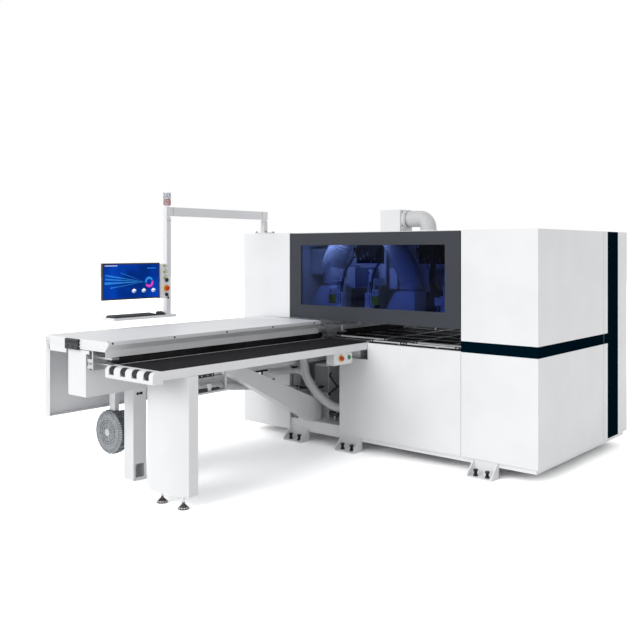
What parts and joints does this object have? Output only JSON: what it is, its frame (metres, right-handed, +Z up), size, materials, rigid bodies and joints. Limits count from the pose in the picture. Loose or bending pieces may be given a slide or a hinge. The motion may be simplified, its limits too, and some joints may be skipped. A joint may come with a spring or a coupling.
{
  "type": "six-sided cnc drilling machine",
  "caption": "Enclosed panel drilling machine with lift-up window, clamp feed beam, infeed table, blower and operator console on a swivelling arm.",
  "frame": {"origin": "on the floor, at the middle of the machine plan", "axes": "+X to the right along the enclosure front, +Y back into the enclosure, away from the infeed table, +Z up"},
  "size_m": [3.07, 4.1927, 2.2443],
  "materials": {
    "white_paint": "satin powder coat",
    "grey_paint": "satin powder coat",
    "light_paint": "satin powder coat",
    "dark_paint": "satin powder coat",
    "stripe": "satin",
    "tinted_glass": "polished",
    "black_plastic": "matte",
    "bed_top": "matte, fine grain",
    "steel": "ground",
    "blower_cast": "cast, painted grey",
    "hose": "translucent, ribbed",
    "grey_hose": "satin",
    "red_cap": "gloss",
    "green_cap": "gloss",
    "white_cap": "gloss",
    "lamp": "gloss, translucent",
    "alu": "machined"
  },
  "bodies": {
    "machine": {"base_frame": "white_paint", "left_cabinet": "white_paint", "right_cabinet": "white_paint", "accent_stripe": "stripe", "roof_cover": "white_paint", "rear_wall": "white_paint", "lower_panel": "white_paint", "worktable": "alu", "cross_beam_upper": "white_paint", "cross_beam_lower": "white_paint", "feed_rail": "steel", "roof_duct": "grey_paint", "roof_hose": "hose", "feed_beam": "white_paint", "beam_hood": "white_paint", "beam_leg": "white_paint", "cable_block": "black_plastic", "table_frame": "white_paint", "table_top": "bed_top", "table_leg": "white_paint", "brace": "light_paint", "blower_housing": "blower_cast", "air_hose": "hose", "dust_hose": "hose", "bend_hose": "grey_hose", "bay_boxes": "grey_paint", "button_box": "white_paint", "post_base": "light_paint"},
    "window": {"window_frame": "dark_paint", "window_glass": "tinted_glass"},
    "clamp_carriage_1": {"clamp_1": "steel"},
    "clamp_finger_1": {"clamp_jaw_1": "steel"},
    "clamp_carriage_2": {"clamp_2": "steel"},
    "clamp_finger_2": {"clamp_jaw_2": "steel"},
    "upper_head_1": {"head_1_carriage": "white_paint", "head_1_hose": "hose"},
    "drill_unit_1": {"head_1_block": "grey_paint"},
    "spindle_1": {"head_1_spindle": "steel"},
    "upper_head_2": {"head_2_carriage": "white_paint", "head_2_hose": "hose"},
    "drill_unit_2": {"head_2_block": "grey_paint"},
    "spindle_2": {"head_2_spindle": "steel"},
    "lower_head_unit": {"lower_head": "grey_paint"},
    "fan": {"blower_fan": "black_plastic"},
    "roller_body_1": {"roller_1": "black_plastic"},
    "roller_body_2": {"roller_2": "black_plastic"},
    "roller_body_3": {"roller_3": "black_plastic"},
    "roller_body_4": {"roller_4": "black_plastic"},
    "arm": {"support_arm": "light_paint", "signal_light": "lamp"},
    "operator_console": {"console": "light_paint", "monitor": "black_plastic", "keyboard": "black_plastic"},
    "push_1": {"button_1": "white_cap"},
    "push_2": {"button_2": "white_cap"},
    "push_3": {"button_3": "white_cap"},
    "console_stop_cap": {"console_stop": "red_cap"},
    "selector": {"console_switch": "black_plastic"},
    "table_stop_cap": {"table_stop": "red_cap"},
    "table_start_cap": {"table_start": "green_cap"}
  },
  "joints": [
    {"name": "window_lift", "type": "hinge", "parent": "machine", "child": "window", "pos_m": [0, 0.21765, 1.884], "axis": [-1, 0, 0], "range_deg": [0, 75]},
    {"name": "clamp_travel_1", "type": "slide", "parent": "machine", "child": "clamp_carriage_1", "axis": [0, 1, 0], "range_m": [0, 2.2]},
    {"name": "clamp_grip_1", "type": "slide", "parent": "clamp_carriage_1", "child": "clamp_finger_1", "axis": [0, 0, -1], "range_m": [0, 0.015]},
    {"name": "clamp_travel_2", "type": "slide", "parent": "machine", "child": "clamp_carriage_2", "axis": [0, 1, 0], "range_m": [-0.1, 1.2]},
    {"name": "clamp_grip_2", "type": "slide", "parent": "clamp_carriage_2", "child": "clamp_finger_2", "axis": [0, 0, -1], "range_m": [0, 0.015]},
    {"name": "head_travel_1", "type": "slide", "parent": "machine", "child": "upper_head_1", "axis": [1, 0, 0], "range_m": [-0.15, 0.05]},
    {"name": "drill_stroke_1", "type": "slide", "parent": "upper_head_1", "child": "drill_unit_1", "axis": [0, 0, -1], "range_m": [0, 0.1]},
    {"name": "spindle_turn_1", "type": "hinge", "parent": "drill_unit_1", "child": "spindle_1", "pos_m": [-0.342, 0.50365, 1.11], "axis": [0, 0, 1], "continuous": true},
    {"name": "head_travel_2", "type": "slide", "parent": "machine", "child": "upper_head_2", "axis": [1, 0, 0], "range_m": [-0.05, 0.15]},
    {"name": "drill_stroke_2", "type": "slide", "parent": "upper_head_2", "child": "drill_unit_2", "axis": [0, 0, -1], "range_m": [0, 0.1]},
    {"name": "spindle_turn_2", "type": "hinge", "parent": "drill_unit_2", "child": "spindle_2", "pos_m": [0.465, 0.50365, 1.11], "axis": [0, 0, 1], "continuous": true},
    {"name": "lower_head_travel", "type": "slide", "parent": "machine", "child": "lower_head_unit", "axis": [1, 0, 0], "range_m": [-0.4, 0.5]},
    {"name": "fan_turn", "type": "hinge", "parent": "machine", "child": "fan", "pos_m": [-1.157, -1.59435, 0.333], "axis": [0, 1, 0], "continuous": true},
    {"name": "roller_turn_1", "type": "hinge", "parent": "machine", "child": "roller_body_1", "pos_m": [-0.48393, -2.05835, 0.925], "axis": [1, 0, 0], "continuous": true},
    {"name": "roller_turn_2", "type": "hinge", "parent": "machine", "child": "roller_body_2", "pos_m": [-0.35782, -2.05835, 0.925], "axis": [1, 0, 0], "continuous": true},
    {"name": "roller_turn_3", "type": "hinge", "parent": "machine", "child": "roller_body_3", "pos_m": [-0.2317, -2.05835, 0.925], "axis": [1, 0, 0], "continuous": true},
    {"name": "roller_turn_4", "type": "hinge", "parent": "machine", "child": "roller_body_4", "pos_m": [-0.10558, -2.05835, 0.925], "axis": [1, 0, 0], "continuous": true},
    {"name": "arm_swivel", "type": "hinge", "parent": "machine", "child": "arm", "pos_m": [-1.315, 0.25365, 2.04], "axis": [0, 0, 1], "range_deg": [-60, 30]},
    {"name": "console_swivel", "type": "hinge", "parent": "arm", "child": "operator_console", "pos_m": [-1.315, -0.93035, 2.02], "axis": [0, 0, 1], "range_deg": [-45, 45]},
    {"name": "push_travel_1", "type": "slide", "parent": "operator_console", "child": "push_1", "axis": [-1, 0, 0], "range_m": [0, 0.004], "stiffness_N_per_m": 300},
    {"name": "push_travel_2", "type": "slide", "parent": "operator_console", "child": "push_2", "axis": [-1, 0, 0], "range_m": [0, 0.004], "stiffness_N_per_m": 300},
    {"name": "push_travel_3", "type": "slide", "parent": "operator_console", "child": "push_3", "axis": [-1, 0, 0], "range_m": [0, 0.004], "stiffness_N_per_m": 300},
    {"name": "console_stop_travel", "type": "slide", "parent": "operator_console", "child": "console_stop_cap", "axis": [-1, 0, 0], "range_m": [0, 0.005], "stiffness_N_per_m": 500},
    {"name": "selector_turn", "type": "hinge", "parent": "operator_console", "child": "selector", "pos_m": [-1.235, -1.00235, 1.373], "axis": [1, 0, 0], "range_deg": [-45, 45]},
    {"name": "table_stop_travel", "type": "slide", "parent": "machine", "child": "table_stop_cap", "axis": [-1, 0, 0], "range_m": [0, 0.005], "stiffness_N_per_m": 500},
    {"name": "table_start_travel", "type": "slide", "parent": "machine", "child": "table_start_cap", "axis": [-1, 0, 0], "range_m": [0, 0.004], "stiffness_N_per_m": 300}
  ]
}
